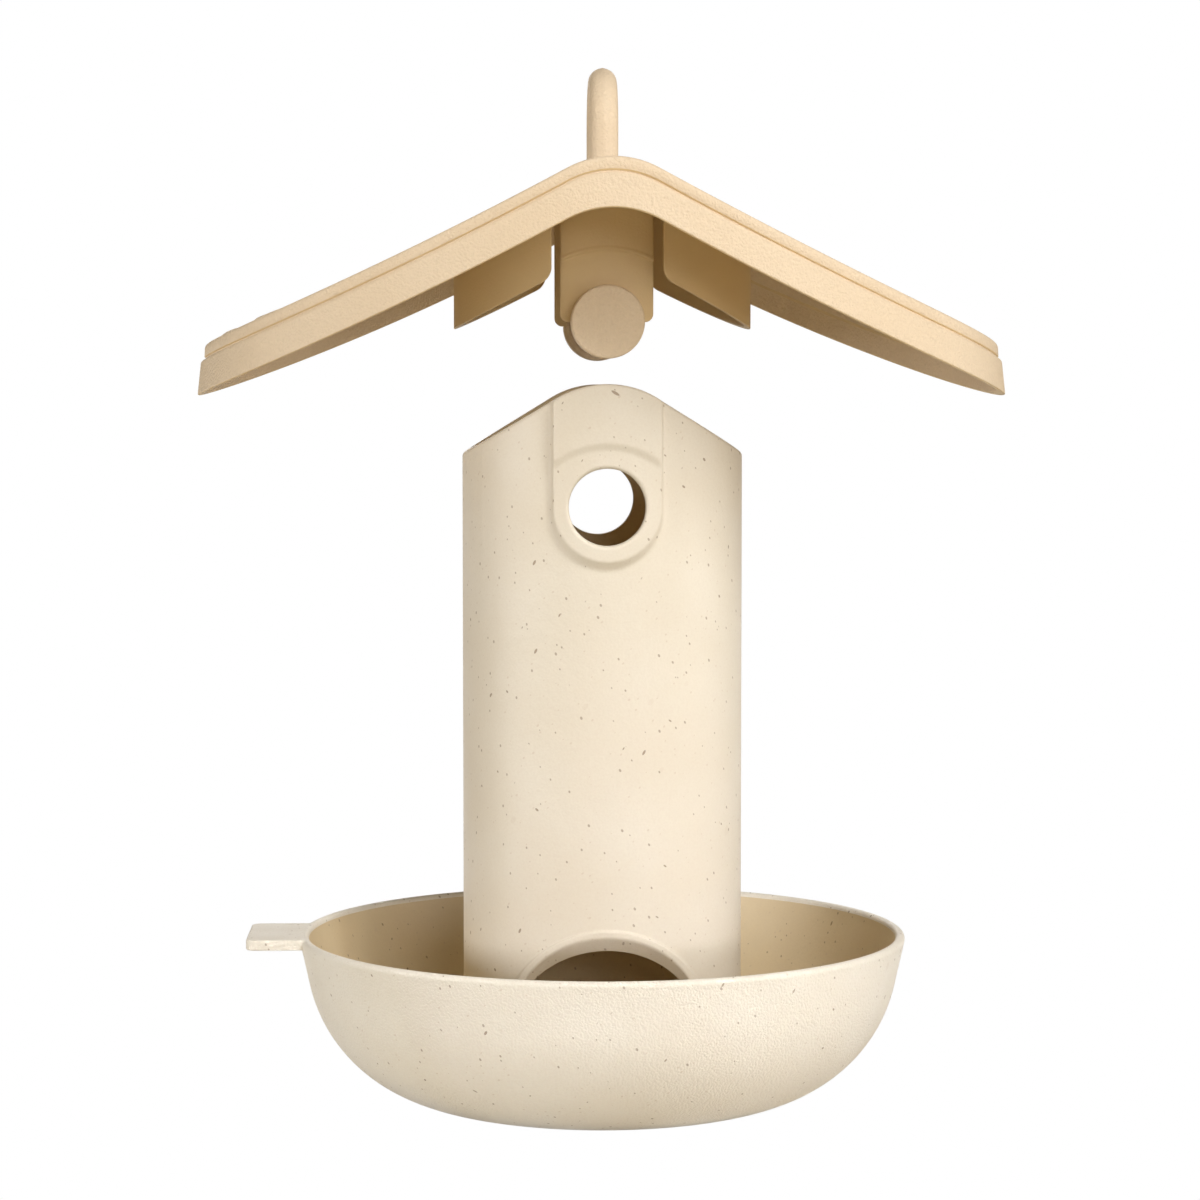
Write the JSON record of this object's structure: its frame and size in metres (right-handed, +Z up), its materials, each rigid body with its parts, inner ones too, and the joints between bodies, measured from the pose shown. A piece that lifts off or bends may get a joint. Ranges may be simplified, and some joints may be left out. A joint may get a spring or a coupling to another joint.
{
  "type": "bird feeder",
  "caption": "Hanging silo bird feeder: gabled oval roof with loop and two button latches, lifted off a seed tube that stands in a round bowl.",
  "frame": {"origin": "centre of the bowl's underside, on the axis of the silo", "axes": "+Z up along the silo's axis, -Y towards the front mouth and button, +X to the right, so the rim tab points along -X and the roof's ridge runs along Y"},
  "size_m": [0.259, 0.196, 0.3325],
  "materials": {
    "roof_plastic": "tan moulded plastic with a fine spark-eroded grain",
    "body_plastic": "cream moulded plastic with sparse brown plant fibres"
  },
  "bodies": {
    "roof": {"roof_shell": "roof_plastic", "hanging_loop": "roof_plastic", "left_collar": "roof_plastic", "right_collar": "roof_plastic"},
    "front_latch": {"front_latch": "roof_plastic"},
    "rear_latch": {"rear_latch": "roof_plastic"},
    "silo": {"silo_tube": "body_plastic", "bowl": "body_plastic", "rim_tab": "body_plastic"}
  },
  "joints": [
    {"name": "silo_lift", "type": "slide", "parent": "roof", "child": "silo", "axis": [0, 0, 1], "range_m": [0, 0.0573], "deforming": ["front_latch", "rear_latch"]},
    {"name": "front_press", "type": "hinge", "parent": "roof", "child": "front_latch", "pos_m": [0, -0.0355, 0.2915], "axis": [1, 0, 0], "range_deg": [0, 12], "stiffness_Nm_per_rad": 2},
    {"name": "rear_press", "type": "hinge", "parent": "roof", "child": "rear_latch", "pos_m": [0, 0.0355, 0.2915], "axis": [-1, 0, 0], "range_deg": [0, 12], "stiffness_Nm_per_rad": 2}
  ]
}
